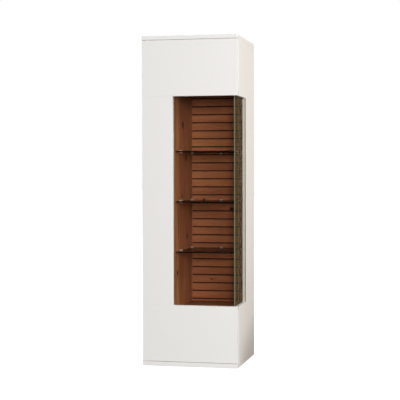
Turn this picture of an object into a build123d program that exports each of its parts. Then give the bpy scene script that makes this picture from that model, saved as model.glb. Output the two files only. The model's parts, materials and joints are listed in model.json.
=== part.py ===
"""Wall-hung display cabinet with a lapped-glass door and a glazed front corner.

Frame: +Z up, +X right as seen from the front, the front faces -Y and the wall is the plane y = 0.
The origin is the middle of the two wall-screw holes in the wall rail.
Sizes are millimetres. Heights are worked out upwards from the cabinet's underside, `base`.
"""
import os

from build123d import *

# ---- overall and board sizes -------------------------------------------------------------
WIDTH = 460.0
HEIGHT = 1550.0
DEPTH = 370.0           # wall to door front
TOP_T = 18.0
BOTTOM_T = 22.0
SIDE_T = 16.0
INNER_T = 16.0
DOOR_T = 19.0
ARRIS = 0.8             # rounding along the outer edges of every lacquered board

# ---- door --------------------------------------------------------------------------------
DOOR_SIDE_REVEAL = 1.0
DOOR_TOP_GAP = 1.5
DOOR_BOTTOM_GAP = 1.5
DOOR_GAP = 2.0          # free space between the closed door's pane and the carcase
DOOR_GLASS_T = 4.0
TAPE_T = 1.0
TAPE_W = 12.0
GLASS_LAP = 18.0        # how far a pane lies behind the boards that hold it
UPPER_BOARD_H = 262.5
LOWER_BOARD_H = 265.5
STILE_W = 147.0
GLASS_EDGE = 0.6        # chamfer along a pane's free upright edge

# ---- carcase divisions -------------------------------------------------------------------
FLOOR_DROP = 21.0       # display floor below the opening's lower edge
CEILING_RISE = 22.0     # display ceiling above the opening's upper edge
PARTITION_SETBACK = 1.0
INNER_SETBACK = 6.0     # inner boards behind the carcase's front edges
REAR_STILE_W = 191.0
SIDE_GLASS_T = 6.0

# ---- back --------------------------------------------------------------------------------
BACK_RECESS = 12.0
BACK_T = 3.0
BACK_GROOVE = 5.0
FIT_GAP = 0.1
BACKING_T = 3.0
SLAT_T = 7.0
SLAT_PITCH = 40.1
SLAT_GROOVE = 5.0
FIRST_GROOVE = 7.6      # ceiling to the middle of the topmost groove
SLAT_MIN = 3.0

# ---- shelves -----------------------------------------------------------------------------
SHELF_T = 6.0
SHELF_PITCH = 238.5
MIDDLE_SHELF_DROP = 3.0
SHELF_FRONT = 50.0      # door front to the shelf's front edge
SHELF_BACK_GAP = 5.0
SHELF_END_GAP = 3.0
SHELF_SIDE_CLEARANCE = 2.0
SHELF_CORNER_R = 3.0
SHELF_EDGE = 0.5
CLAMP_R = 8.0
CLAMP_L = 14.0
CLAMP_ROUND = 0.8
CLAMP_PEG_R = 2.5
CLAMP_PEG_L = 8.0
CLAMP_BACK_PEG_L = 7.0  # no longer than a slat is thick
CLAMP_WALL = 2.0
CLAMP_TOP_CLEARANCE = 0.4
CLAMP_FRONT = 120.0     # door front to the front clamps
CLAMP_BACK = 20.0       # slat faces to the rear clamps
CLAMP_STILE_INSET = 41.0
CLAMP_MIDDLE = 153.0    # partition to the clamp on the slats
GRUB_R = 2.0
GRUB_RECESS = 0.5
SIDE_SHELF_CLEARANCE = 1.0
PIN_R = 2.5
PIN_IN = 7.0
PIN_OUT = 9.0
PIN_INSET = 40.0

# ---- wall rail and hangers ---------------------------------------------------------------
RAIL_DROP = 70.0        # cabinet top to the wall screws
RAIL_T = 2.0
RAIL_BELOW = 22.0
RAIL_STEP = 14.0        # wall screws to the underside of the rail's step
RAIL_LIP = 34.0
RAIL_LIP_GAP = 6.0
RAIL_END_GAP = 14.0
WALL_SCREW_INSET = 40.0
WALL_HOLE_R = 3.25
HOOK_T = 2.5
HOOK_W = 16.0
HOOK_DOWN = 15.0
HOOK_LIFT = 0.5
HOOK_BEND_R = 2.0
HOOK_CLEARANCE = 0.5
HOOK_WALL = 3.0         # housing left in front of the hook's slot
HOOK_END_GAP = 1.0
HANGER_W = 44.0
HANGER_D = 16.0
HANGER_H = 58.0
HANGER_TOP_GAP = 2.0
HANGER_PEG_R = 5.0
HANGER_PEG_L = 10.0
HANGER_PEG_INSET = 14.0
HANGER_ROUND = 2.0
ADJUSTER_RISES = (13.0, 29.0)   # hanger's underside to its height and depth screws
ADJUSTER_HEAD_R = 3.8
ADJUSTER_HEAD_H = 2.5
ADJUSTER_RECESS_R = 4.0
ADJUSTER_RECESS = 3.0
ADJUSTER_SETBACK = 0.5
ADJUSTER_END_GAP = 1.0
CROSS_W = 1.0
CROSS_L = 6.0
CROSS_DEPTH = 1.0
SLOT_MARGIN = 3.0

# ---- pivots ------------------------------------------------------------------------------
PIVOT_INSET = 12.0      # door edge to pivot axis
PIVOT_PIN_R = 4.0
PIVOT_PIN_L = 16.0
PIVOT_CLEARANCE = 0.05
BUSH_WALL = 2.0
PIVOT_PLATE_T = 2.0
PIVOT_PLATE_NOSE = 7.5
PIVOT_PLATE_W = 24.0
PIVOT_PLATE_L = 54.0
PIVOT_SCREW_SETBACKS = (16.0, 40.0)
PIVOT_PIN_CHAMFER = 0.5
PLATE_CORNER_R = 3.0
THRUST_GAP = 0.1
WASHER_R = 7.5
BUSH_END_GAP = 1.0

# ---- push latches ------------------------------------------------------------------------
LATCH_W = 18.0
LATCH_H = 22.0
LATCH_L = 60.0
LATCH_FROM_SEAM = 150.0
LATCH_FRONT_SETBACK = 1.0
LATCH_LIP = 3.0
LATCH_ROUND = 1.5
LATCH_SCREWS = ((7.0, 34.0), (-7.0, 50.0))     # rise above the plunger's axis, and setback
PLUNGER_R = 4.5
COLLAR_R = 6.0
COLLAR_L = 8.0
COLLAR_GAP = 0.3
PLUNGER_ROUND = 0.8
STEM_R = 2.5
STEM_L = 16.0
PLUNGER_CLEARANCE = 0.15
STRIKE_T = 1.0
STRIKE_H = 30.0
STRIKE_SCREW_RISE = 10.0
STRIKE_GAP = 0.3
SPRING_R = 4.0
WIRE_R = 0.4
SPRING_TURNS = 7
END_CAP_T = 4.0

# ---- fasteners ---------------------------------------------------------------------------
CAM_R = 7.5
CAM_DEPTH = 12.5
CAM_INSET = 34.0
CAM_SLOT_W = 1.4
CAM_SLOT_L = 10.0
CAM_SLOT_DEPTH = 1.5
CAM_BOLT_R = 3.0
CAM_BOLT_GRIP = 11.0
CAM_BOLT_CLEARANCE = 1.0
CAM_BOLT_START = 2.0    # cam centre to the bolt's end
DOWEL_R = 4.0
DOWEL_L = 30.0
DOWEL_IN_TOP = 12.0     # part of a dowel that lies in the top board
DOWEL_IN_FACE = 9.0     # part of a dowel that lies in the face of a thinner board
SCREW_R = 2.0
SCREW_HEAD_R = 3.6
SCREW_HEAD_H = 2.0
SCREW_GRIP = 11.0
SOCKET_R = 2.0
SOCKET_DEPTH = 1.4

# ---- setbacks of the joints' fittings: from the carcase's front, and from the wall --------
CAM_SETBACKS = (37.0, 60.0)
CORNER_DOWEL_SETBACKS = (69.0, 92.0)
INNER_DOWEL_SETBACKS = (94.0, 80.0)
SEAM_DOWEL_SETBACKS = (41.0, 60.0)              # the first from the rear stile's front
DOOR_DOWEL_INSET = 40.0

# ---- planes and levels -------------------------------------------------------------------
base = RAIL_DROP - HEIGHT
top = base + HEIGHT
left = -WIDTH / 2
right = WIDTH / 2
inner_left = left + SIDE_T
inner_right = right - SIDE_T
bottom_face = base + BOTTOM_T
top_face = top - TOP_T

door_front = -DEPTH
door_back = door_front + DOOR_T
door_pane_front = door_back + TAPE_T
door_pane_back = door_pane_front + DOOR_GLASS_T
front = door_pane_back + DOOR_GAP
inner_front = front + INNER_SETBACK

door_left = left + DOOR_SIDE_REVEAL
door_right = right - DOOR_SIDE_REVEAL
door_bottom = bottom_face + DOOR_BOTTOM_GAP
door_top = top_face - DOOR_TOP_GAP
seam_low = door_bottom + LOWER_BOARD_H
seam_high = door_top - UPPER_BOARD_H
opening_left = door_left + STILE_W

floor_top = seam_low - FLOOR_DROP
floor_under = floor_top - INNER_T
ceiling_under = seam_high + CEILING_RISE
ceiling_top = ceiling_under + INNER_T
partition_right = opening_left - PARTITION_SETBACK
partition_left = partition_right - INNER_T
stile_front = -REAR_STILE_W

back_behind = -BACK_RECESS
back_face = back_behind - BACK_T
backing_face = back_face - BACKING_T
slat_face = backing_face - SLAT_T

side_pane_right = inner_right - TAPE_T
side_pane_left = side_pane_right - SIDE_GLASS_T

middle_shelf_top = (floor_top + ceiling_under) / 2 - MIDDLE_SHELF_DROP
shelf_tops = [middle_shelf_top + step * SHELF_PITCH for step in (-1, 0, 1)]
shelf_left = partition_right + SHELF_END_GAP
shelf_right = side_pane_left - SHELF_SIDE_CLEARANCE
shelf_front = door_front + SHELF_FRONT
shelf_back = slat_face - SHELF_BACK_GAP
clamp_front_y = door_front + CLAMP_FRONT
clamp_back_y = slat_face - CLAMP_BACK
clamp_stile_y = stile_front + CLAMP_STILE_INSET
clamp_middle_x = partition_right + CLAMP_MIDDLE

pivot_x = door_left + PIVOT_INSET
pivot_y = door_front + DOOR_T / 2

latch_x = inner_right - LATCH_W / 2
latch_front = front + LATCH_FRONT_SETBACK
latch_heights = [seam_low - LATCH_FROM_SEAM, seam_high + LATCH_FROM_SEAM]

rail_left = inner_left + RAIL_END_GAP
rail_right = inner_right - RAIL_END_GAP
hook_under = RAIL_LIP + HOOK_LIFT
hanger_top = top_face - HANGER_TOP_GAP
hanger_bottom = hanger_top - HANGER_H
hanger_front = back_face - HANGER_D
hanger_middles = [inner_left + HANGER_W / 2, inner_right - HANGER_W / 2]

cam_ys = [front + CAM_SETBACKS[0], -CAM_SETBACKS[1]]
corner_dowel_ys = [front + CORNER_DOWEL_SETBACKS[0], -CORNER_DOWEL_SETBACKS[1]]
inner_dowel_ys = [front + INNER_DOWEL_SETBACKS[0], -INNER_DOWEL_SETBACKS[1]]
seam_dowel_ys = [stile_front + SEAM_DOWEL_SETBACKS[0], -SEAM_DOWEL_SETBACKS[1]]
door_dowel_xs = [door_left + DOOR_DOWEL_INSET, opening_left - DOOR_DOWEL_INSET]


# ---- helpers that add to, or cut from, the piece being built -----------------------------
def slab(x, y, z, mode=Mode.ADD):
    """A rectangular block between (low, high) pairs along X, Y and Z."""
    with BuildSketch(Plane.XY.offset(z[0])) as footprint:
        with Locations(((x[0] + x[1]) / 2, (y[0] + y[1]) / 2)):
            Rectangle(x[1] - x[0], y[1] - y[0])
    extrude(to_extrude=footprint.sketch, amount=z[1] - z[0], mode=mode)


def rod(start, axis, radius, length, mode=Mode.ADD):
    """A round bar, or a bore, from a start point along an axis."""
    with BuildSketch(Plane(origin=start, z_dir=axis)) as disc:
        Circle(radius)
    extrude(to_extrude=disc.sketch, amount=length, mode=mode)


def screw(seat, axis, length):
    """A screw whose head stands on `seat` against `axis`, with a hexagonal socket."""
    rod(seat, axis, SCREW_R, length)
    outward = Vector(*axis) * -1
    rod(seat, outward, SCREW_HEAD_R, SCREW_HEAD_H)
    rim = Vector(*seat) + outward * SCREW_HEAD_H
    with BuildSketch(Plane(origin=rim, z_dir=axis)) as socket:
        RegularPolygon(radius=SOCKET_R, side_count=6)
    extrude(to_extrude=socket.sketch, amount=SOCKET_DEPTH, mode=Mode.SUBTRACT)


def back_panel_groove():
    """The groove that the carcase back panel sits in, cut from a board."""
    slab((inner_left - BACK_GROOVE - FIT_GAP, inner_right + BACK_GROOVE + FIT_GAP),
         (back_face - FIT_GAP, back_behind + FIT_GAP),
         (bottom_face - BACK_GROOVE - FIT_GAP, top_face + BACK_GROOVE + FIT_GAP), Mode.SUBTRACT)


def keep(piece, name):
    """Label a finished piece and write its STEP file."""
    piece.part.label = name
    export_step(piece.part, f"parts/{name}.step")


# ---- places that several pieces share ----------------------------------------------------
def cam_places():
    """Cam centre and the direction from the cam towards the board that it pulls."""
    places = []
    for x, inward in ((inner_left, -1), (inner_right, 1)):
        for y in cam_ys:
            places.append(((x, y, bottom_face + CAM_INSET), inward, -1))
            places.append(((x, y, top_face - CAM_INSET), inward, 1))
    return places


def corner_dowel_starts():
    """Lower ends of the upright dowels between side boards and top or bottom board."""
    middles = (left + SIDE_T / 2, right - SIDE_T / 2)
    levels = (bottom_face - DOWEL_L / 2, top_face + DOWEL_IN_TOP - DOWEL_L)
    return [(x, y, z) for x in middles for y in corner_dowel_ys for z in levels]


def inner_dowel_starts():
    """Left ends of the level dowels between side boards and the ceiling and floor boards."""
    levels = (floor_top - INNER_T / 2, ceiling_under + INNER_T / 2)
    ends = (inner_left - DOWEL_IN_FACE, inner_right + DOWEL_IN_FACE - DOWEL_L)
    return [(x, y, z) for x in ends for y in inner_dowel_ys for z in levels]


def partition_dowel_starts():
    """Lower ends of the upright dowels in the partition's two ends."""
    x = (partition_left + partition_right) / 2
    levels = (floor_top - DOWEL_IN_FACE, ceiling_under + DOWEL_IN_FACE - DOWEL_L)
    return [(x, y, z) for y in inner_dowel_ys for z in levels]


def side_seam_dowel_starts():
    """Lower ends of the dowels across the two seams of the right side."""
    x = right - SIDE_T / 2
    return [(x, y, z - DOWEL_L / 2) for y in seam_dowel_ys for z in (seam_low, seam_high)]


def door_dowel_starts():
    """Lower ends of the dowels across the two seams of the door."""
    y = (door_front + door_back) / 2
    return [(x, y, z - DOWEL_L / 2) for x in door_dowel_xs for z in (seam_low, seam_high)]


def hanger_peg_heights():
    """Heights of the two pegs that fix each hanger to its side board."""
    return (hanger_bottom + HANGER_PEG_INSET, hanger_top - HANGER_PEG_INSET)


def latch_screw_places():
    """Height and depth of the two screws of each latch housing."""
    return [(z + rise, latch_front + setback) for z in latch_heights for rise, setback in LATCH_SCREWS]


def strike_screw_heights():
    """Heights of the two screws of each strike plate."""
    return [z + side * STRIKE_SCREW_RISE for z in latch_heights for side in (-1, 1)]


def pivot_screw_ys():
    """Depths of the two screws in each pivot plate."""
    return [front + setback for setback in PIVOT_SCREW_SETBACKS]


def pivot_footprint(margin):
    """Outline of a pivot plate, grown all round by a margin: a round nose, and a rectangle behind it."""
    with Locations((pivot_x, pivot_y)):
        Circle(PIVOT_PLATE_NOSE + margin)
    plate_left = inner_left + FIT_GAP
    plate_back = front + PIVOT_PLATE_L
    with Locations((plate_left + PIVOT_PLATE_W / 2, (pivot_y + plate_back) / 2)):
        Rectangle(PIVOT_PLATE_W + 2 * margin, plate_back - pivot_y + 2 * margin)


def side_pin_places():
    """Depth and height of the pins under each shelf of the narrow compartment."""
    ys = (inner_front + PIN_INSET, back_face - PIN_INSET)
    return [(y, shelf_top - INNER_T - PIN_R) for y in ys for shelf_top in shelf_tops]


def clamp_middles():
    """Height of each glass shelf's middle plane."""
    return [shelf_top - SHELF_T / 2 for shelf_top in shelf_tops]


# ---- bores that the boards share ---------------------------------------------------------
def side_board_bores():
    """Bores for dowels, cams, pegs and screws; only those that meet the board cut it."""
    for (x, y, z), inward, up in cam_places():
        rod((x, y, z), (inward, 0, 0), CAM_R, CAM_DEPTH, Mode.SUBTRACT)
        middle = x + inward * SIDE_T / 2
        rod((middle, y, z), (0, 0, up), CAM_BOLT_R + CAM_BOLT_CLEARANCE, CAM_INSET, Mode.SUBTRACT)
    for start in corner_dowel_starts() + side_seam_dowel_starts():
        rod(start, (0, 0, 1), DOWEL_R, DOWEL_L, Mode.SUBTRACT)
    for start in inner_dowel_starts():
        rod(start, (1, 0, 0), DOWEL_R, DOWEL_L, Mode.SUBTRACT)
    for x, outward in ((inner_left, -1), (inner_right, 1)):
        for z in hanger_peg_heights():
            peg = (x, back_face - HANGER_D / 2, z)
            rod(peg, (outward, 0, 0), HANGER_PEG_R, HANGER_PEG_L, Mode.SUBTRACT)


def cap_board_bores():
    """Bores in the top or bottom board for dowels and cam bolts, and the pivot plate's bed."""
    for start in corner_dowel_starts():
        rod(start, (0, 0, 1), DOWEL_R, DOWEL_L, Mode.SUBTRACT)
    for (x, y, z), inward, up in cam_places():
        middle = x + inward * SIDE_T / 2
        rod((middle, y, z), (0, 0, up), CAM_BOLT_R, CAM_INSET + CAM_BOLT_GRIP, Mode.SUBTRACT)
    for y in pivot_screw_ys():
        x = inner_left + PIVOT_PLATE_W / 2
        rod((x, y, bottom_face), (0, 0, -1), SCREW_R, PIVOT_PLATE_T + SCREW_GRIP, Mode.SUBTRACT)
        rod((x, y, top_face), (0, 0, 1), SCREW_R, PIVOT_PLATE_T + SCREW_GRIP, Mode.SUBTRACT)
    for z in (bottom_face - PIVOT_PLATE_T, top_face):
        with BuildSketch(Plane.XY.offset(z)) as bed:
            pivot_footprint(FIT_GAP)
        extrude(to_extrude=bed.sketch, amount=PIVOT_PLATE_T, mode=Mode.SUBTRACT)


def shelf_pin_bores(x, direction):
    """Bores for the narrow compartment's shelf pins in the board whose face is at x."""
    for y, z in side_pin_places():
        rod((x, y, z), (direction, 0, 0), PIN_R, PIN_IN, Mode.SUBTRACT)


os.makedirs("parts", exist_ok=True)

# ---- carcase boards ----------------------------------------------------------------------
with BuildPart() as top_board:
    slab((left, right), (door_front, 0), (top_face, top))
    fillet(top_board.edges().group_by(Axis.Z)[-1] + top_board.edges().filter_by(Axis.Z), ARRIS)
    back_panel_groove()
    cap_board_bores()
keep(top_board, "top_board")

with BuildPart() as bottom_board:
    slab((left, right), (door_front, 0), (base, bottom_face))
    fillet(bottom_board.edges().group_by(Axis.Z)[0] + bottom_board.edges().filter_by(Axis.Z), ARRIS)
    back_panel_groove()
    cap_board_bores()
keep(bottom_board, "bottom_board")

with BuildPart() as left_side_panel:
    slab((left, inner_left), (front, 0), (bottom_face, top_face))
    fillet(left_side_panel.faces().sort_by(Axis.X)[0].edges(), ARRIS)
    back_panel_groove()
    side_board_bores()
    shelf_pin_bores(inner_left, -1)
keep(left_side_panel, "left_side_panel")


def right_side_board(name, y, z):
    """One of the three butt-jointed boards of the glazed side."""
    with BuildPart() as board:
        slab((inner_right, right), y, z)
        fillet(board.faces().sort_by(Axis.X)[-1].edges(), ARRIS)
        back_panel_groove()
        side_board_bores()
        for screw_z, screw_y in latch_screw_places():
            rod((inner_right, screw_y, screw_z), (1, 0, 0), SCREW_R, SCREW_GRIP, Mode.SUBTRACT)
        for height in clamp_middles():
            for depth in (clamp_back_y, clamp_stile_y):
                rod((inner_right, depth, height), (1, 0, 0), CLAMP_PEG_R, CLAMP_PEG_L, Mode.SUBTRACT)
    keep(board, name)


right_side_board("right_side_upper_panel", (front, 0), (seam_high, top_face))
right_side_board("right_side_lower_panel", (front, 0), (bottom_face, seam_low))
right_side_board("right_side_rear_stile", (stile_front, 0), (seam_low, seam_high))


def inner_board(name, z):
    """The display ceiling or floor, between the two sides."""
    with BuildPart() as board:
        slab((inner_left, inner_right), (inner_front, back_face), z)
        for start in inner_dowel_starts():
            rod(start, (1, 0, 0), DOWEL_R, DOWEL_L, Mode.SUBTRACT)
        for start in partition_dowel_starts():
            rod(start, (0, 0, 1), DOWEL_R, DOWEL_L, Mode.SUBTRACT)
    keep(board, name)


inner_board("display_ceiling", (ceiling_under, ceiling_top))
inner_board("display_floor", (floor_under, floor_top))

with BuildPart() as partition_panel:
    slab((partition_left, partition_right), (inner_front, back_face), (floor_top, ceiling_under))
    fillet(partition_panel.edges().filter_by(Axis.Z).group_by(Axis.Y)[0], ARRIS)
    shelf_pin_bores(partition_left, 1)
    for start in partition_dowel_starts():
        rod(start, (0, 0, 1), DOWEL_R, DOWEL_L, Mode.SUBTRACT)
    for height in clamp_middles():
        for depth in (clamp_front_y, clamp_back_y):
            rod((partition_right, depth, height), (-1, 0, 0), CLAMP_PEG_R, CLAMP_PEG_L, Mode.SUBTRACT)
keep(partition_panel, "partition_panel")

# ---- back and slatted lining -------------------------------------------------------------
with BuildPart() as carcase_back_panel:
    slab((inner_left - BACK_GROOVE, inner_right + BACK_GROOVE), (back_face, back_behind),
         (bottom_face - BACK_GROOVE, top_face + BACK_GROOVE))
    for middle in hanger_middles:
        slab((middle - HOOK_W / 2 - SLOT_MARGIN, middle + HOOK_W / 2 + SLOT_MARGIN),
             (back_face, back_behind),
             (hook_under - SLOT_MARGIN, hook_under + HOOK_T + SLOT_MARGIN), Mode.SUBTRACT)
keep(carcase_back_panel, "carcase_back_panel")

with BuildPart() as slat_backing_panel:
    slab((partition_right, inner_right), (backing_face, back_face), (floor_top, ceiling_under))
keep(slat_backing_panel, "slat_backing_panel")


def slat_spans():
    """(low, high) of each slat, from the display ceiling down to its floor."""
    spans = []
    high = ceiling_under
    groove = ceiling_under - FIRST_GROOVE
    while high - floor_top > SLAT_MIN:
        low = max(groove + SLAT_GROOVE / 2, floor_top)
        if high - low > SLAT_MIN:
            spans.append((low, high))
        high = groove - SLAT_GROOVE / 2
        groove -= SLAT_PITCH
    return spans


with BuildPart() as wood_slats:
    for span in slat_spans():
        slab((partition_right, inner_right), (slat_face, backing_face), span)
    fillet(wood_slats.edges().filter_by(Axis.X).group_by(Axis.Y)[0], ARRIS)
    for height in clamp_middles():
        rod((clamp_middle_x, slat_face, height), (0, 1, 0), CLAMP_PEG_R, CLAMP_BACK_PEG_L, Mode.SUBTRACT)
keep(wood_slats, "wood_slats")

# ---- glazed side -------------------------------------------------------------------------
with BuildPart() as side_glass_pane:
    slab((side_pane_left, side_pane_right), (front, stile_front + GLASS_LAP),
         (seam_low - GLASS_LAP, seam_high + GLASS_LAP))
    chamfer(side_glass_pane.edges().group_by(Axis.Y)[0], GLASS_EDGE)
keep(side_glass_pane, "side_glass_pane")

with BuildPart() as side_glass_tape:
    tape_x = (side_pane_right, inner_right)
    slab(tape_x, (front + ARRIS, stile_front + GLASS_LAP),
         (seam_high + GLASS_LAP - TAPE_W, seam_high + GLASS_LAP))
    slab(tape_x, (front + ARRIS, stile_front + GLASS_LAP),
         (seam_low - GLASS_LAP, seam_low - GLASS_LAP + TAPE_W))
    slab(tape_x, (stile_front + GLASS_LAP - TAPE_W, stile_front + GLASS_LAP),
         (seam_low - GLASS_LAP + TAPE_W, seam_high + GLASS_LAP - TAPE_W))
keep(side_glass_tape, "side_glass_tape")

# ---- glass shelves and their clamps ------------------------------------------------------
for shelf_name, shelf_top in zip(("lower", "middle", "upper"), shelf_tops):
    with BuildPart() as glass_shelf:
        slab((shelf_left, shelf_right), (shelf_front, shelf_back), (shelf_top - SHELF_T, shelf_top))
        fillet(glass_shelf.edges().filter_by(Axis.Z), SHELF_CORNER_R)
        chamfer(glass_shelf.edges().filter_by(Axis.X), SHELF_EDGE)
    keep(glass_shelf, f"glass_shelf_{shelf_name}")


def clamp_directions():
    """Foot point (without height), outward direction and node for each kind of clamp."""
    return {
        "left": [((partition_right, clamp_front_y), (1, 0, 0)), ((partition_right, clamp_back_y), (1, 0, 0))],
        "right": [((inner_right, clamp_stile_y), (-1, 0, 0)), ((inner_right, clamp_back_y), (-1, 0, 0))],
        "back": [((clamp_middle_x, slat_face), (0, -1, 0))],
    }


def clamp_reach(side):
    """Length of a clamp's barrel: the right-hand ones also bridge the gap beside the side pane."""
    return CLAMP_L + (inner_right - shelf_right - SHELF_END_GAP if side == "right" else 0.0)


def shelf_clamps(side):
    """Slotted barrels with a peg in the board, one set for every glass shelf."""
    reach = clamp_reach(side)
    with BuildPart() as clamps:
        for height in clamp_middles():
            for (x, y), outward in clamp_directions()[side]:
                foot = Vector(x, y, height)
                rod(foot, outward, CLAMP_R, reach)
        fillet(clamps.edges().filter_by(GeomType.CIRCLE), CLAMP_ROUND)
        for height in clamp_middles():
            for (x, y), outward in clamp_directions()[side]:
                foot = Vector(x, y, height)
                inward = Vector(*outward) * -1
                peg = CLAMP_BACK_PEG_L if side == "back" else CLAMP_PEG_L
                rod(foot, inward, CLAMP_PEG_R, peg)
                middle = foot + Vector(*outward) * (reach / 2)
                rod(middle - Vector(0, 0, CLAMP_R), (0, 0, 1), GRUB_R, CLAMP_R, Mode.SUBTRACT)
        for height in clamp_middles():
            slab((shelf_left - CLAMP_WALL / 2, shelf_right + CLAMP_WALL / 2),
                 (shelf_front, shelf_back + CLAMP_WALL / 2),
                 (height - SHELF_T / 2, height + SHELF_T / 2 + CLAMP_TOP_CLEARANCE), Mode.SUBTRACT)
    keep(clamps, f"shelf_clamps_{side}")


for clamp_side in ("left", "right", "back"):
    shelf_clamps(clamp_side)

with BuildPart() as clamp_grub_screws:
    for side, places in clamp_directions().items():
        for height in clamp_middles():
            for (x, y), outward in places:
                middle = Vector(x, y, height) + Vector(*outward) * (clamp_reach(side) / 2)
                foot = middle - Vector(0, 0, CLAMP_R - GRUB_RECESS)
                rod(foot, (0, 0, 1), GRUB_R, CLAMP_R - GRUB_RECESS - SHELF_T / 2)
keep(clamp_grub_screws, "clamp_grub_screws")

# ---- narrow compartment behind the door's stile ------------------------------------------
for shelf_name, shelf_top in zip(("lower", "middle", "upper"), shelf_tops):
    with BuildPart() as side_shelf:
        slab((inner_left + SIDE_SHELF_CLEARANCE, partition_left - SIDE_SHELF_CLEARANCE),
             (inner_front + INNER_SETBACK, back_face - SIDE_SHELF_CLEARANCE),
             (shelf_top - INNER_T, shelf_top))
        fillet(side_shelf.edges().filter_by(Axis.X).group_by(Axis.Y)[0], ARRIS)
    keep(side_shelf, f"side_shelf_{shelf_name}")

with BuildPart() as side_shelf_pins:
    for y, z in side_pin_places():
        rod((inner_left - PIN_IN, y, z), (1, 0, 0), PIN_R, PIN_IN + PIN_OUT)
        rod((partition_left + PIN_IN, y, z), (-1, 0, 0), PIN_R, PIN_IN + PIN_OUT)
keep(side_shelf_pins, "side_shelf_pins")

# ---- corner fittings ---------------------------------------------------------------------
with BuildPart() as corner_cam_locks:
    for (x, y, z), inward, up in cam_places():
        rod((x, y, z), (inward, 0, 0), CAM_R, CAM_DEPTH)
    for (x, y, z), inward, up in cam_places():
        middle = x + inward * SIDE_T / 2
        rod((middle, y, z), (0, 0, up), CAM_BOLT_R + CAM_BOLT_CLEARANCE, CAM_R, Mode.SUBTRACT)
        slab((x - CAM_SLOT_DEPTH, x + CAM_SLOT_DEPTH), (y - CAM_SLOT_L / 2, y + CAM_SLOT_L / 2),
             (z - CAM_SLOT_W / 2, z + CAM_SLOT_W / 2), Mode.SUBTRACT)
keep(corner_cam_locks, "corner_cam_locks")

with BuildPart() as corner_cam_bolts:
    for (x, y, z), inward, up in cam_places():
        middle = x + inward * SIDE_T / 2
        end = (middle, y, z + up * CAM_BOLT_START)
        rod(end, (0, 0, up), CAM_BOLT_R, CAM_INSET + CAM_BOLT_GRIP - CAM_BOLT_START)
keep(corner_cam_bolts, "corner_cam_bolts")

with BuildPart() as carcase_dowels:
    for start in corner_dowel_starts() + partition_dowel_starts():
        rod(start, (0, 0, 1), DOWEL_R, DOWEL_L)
    for start in inner_dowel_starts():
        rod(start, (1, 0, 0), DOWEL_R, DOWEL_L)
keep(carcase_dowels, "carcase_dowels")

with BuildPart() as side_seam_dowels:
    for start in side_seam_dowel_starts():
        rod(start, (0, 0, 1), DOWEL_R, DOWEL_L)
keep(side_seam_dowels, "side_seam_dowels")

# ---- wall rail ---------------------------------------------------------------------------
with BuildPart() as wall_rail:
    with BuildSketch(Plane.YZ.offset(rail_left)) as rail_profile:
        with BuildLine():
            Polyline((0, -RAIL_BELOW), (0, RAIL_STEP + RAIL_T), (-RAIL_LIP_GAP, RAIL_STEP + RAIL_T),
                     (-RAIL_LIP_GAP, RAIL_LIP), (-RAIL_LIP_GAP - RAIL_T, RAIL_LIP),
                     (-RAIL_LIP_GAP - RAIL_T, RAIL_STEP), (-RAIL_T, RAIL_STEP),
                     (-RAIL_T, -RAIL_BELOW), close=True)
        make_face()
    extrude(amount=rail_right - rail_left)
    for hole_x in (rail_left + WALL_SCREW_INSET, rail_right - WALL_SCREW_INSET):
        rod((hole_x, 0, 0), (0, -1, 0), WALL_HOLE_R, RAIL_T, Mode.SUBTRACT)
keep(wall_rail, "wall_rail")


# ---- hangers -----------------------------------------------------------------------------
def hanger_screw_heights():
    """Heights of the height and depth adjusting screws of a hanger."""
    return [hanger_bottom + rise for rise in ADJUSTER_RISES]


def hanger(side, middle, outward):
    """Moulded hanger housing, pegged to the side board, and its steel hook."""
    with BuildPart() as housing:
        slab((middle - HANGER_W / 2, middle + HANGER_W / 2), (hanger_front, back_face),
             (hanger_bottom, hanger_top))
        fillet(housing.edges().group_by(Axis.Y)[0], HANGER_ROUND)
        for z in hanger_peg_heights():
            peg = (middle + outward * HANGER_W / 2, back_face - HANGER_D / 2, z)
            rod(peg, (outward, 0, 0), HANGER_PEG_R, HANGER_PEG_L)
        slab((middle - HOOK_W / 2 - HOOK_CLEARANCE, middle + HOOK_W / 2 + HOOK_CLEARANCE),
             (hanger_front + HOOK_WALL, back_face),
             (hook_under - HOOK_CLEARANCE, hook_under + HOOK_T + HOOK_CLEARANCE), Mode.SUBTRACT)
        for z in hanger_screw_heights():
            mouth = (middle, hanger_front, z)
            rod(mouth, (0, 1, 0), ADJUSTER_RECESS_R, ADJUSTER_RECESS, Mode.SUBTRACT)
            rod(mouth, (0, 1, 0), SCREW_R, HANGER_D - ADJUSTER_END_GAP, Mode.SUBTRACT)
    keep(housing, f"hanger_{side}_housing")

    hook_top = hook_under + HOOK_T
    hook_front = hanger_front + HOOK_WALL + HOOK_END_GAP
    leg_front = -RAIL_LIP_GAP / 2 - HOOK_T / 2
    with BuildPart() as hook:
        with BuildSketch(Plane.YZ.offset(middle - HOOK_W / 2)):
            with BuildLine():
                Polyline((hook_front, hook_under), (leg_front, hook_under),
                         (leg_front, hook_top - HOOK_DOWN), (leg_front + HOOK_T, hook_top - HOOK_DOWN),
                         (leg_front + HOOK_T, hook_top), (hook_front, hook_top), close=True)
            make_face()
        extrude(amount=HOOK_W)
        outer_bend = hook.edges().filter_by(Axis.X).group_by(Axis.Z)[-1].sort_by(Axis.Y)[-1]
        fillet(outer_bend, HOOK_BEND_R)
    keep(hook, f"hanger_{side}_hook")


hanger("left", hanger_middles[0], -1)
hanger("right", hanger_middles[1], 1)

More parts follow.
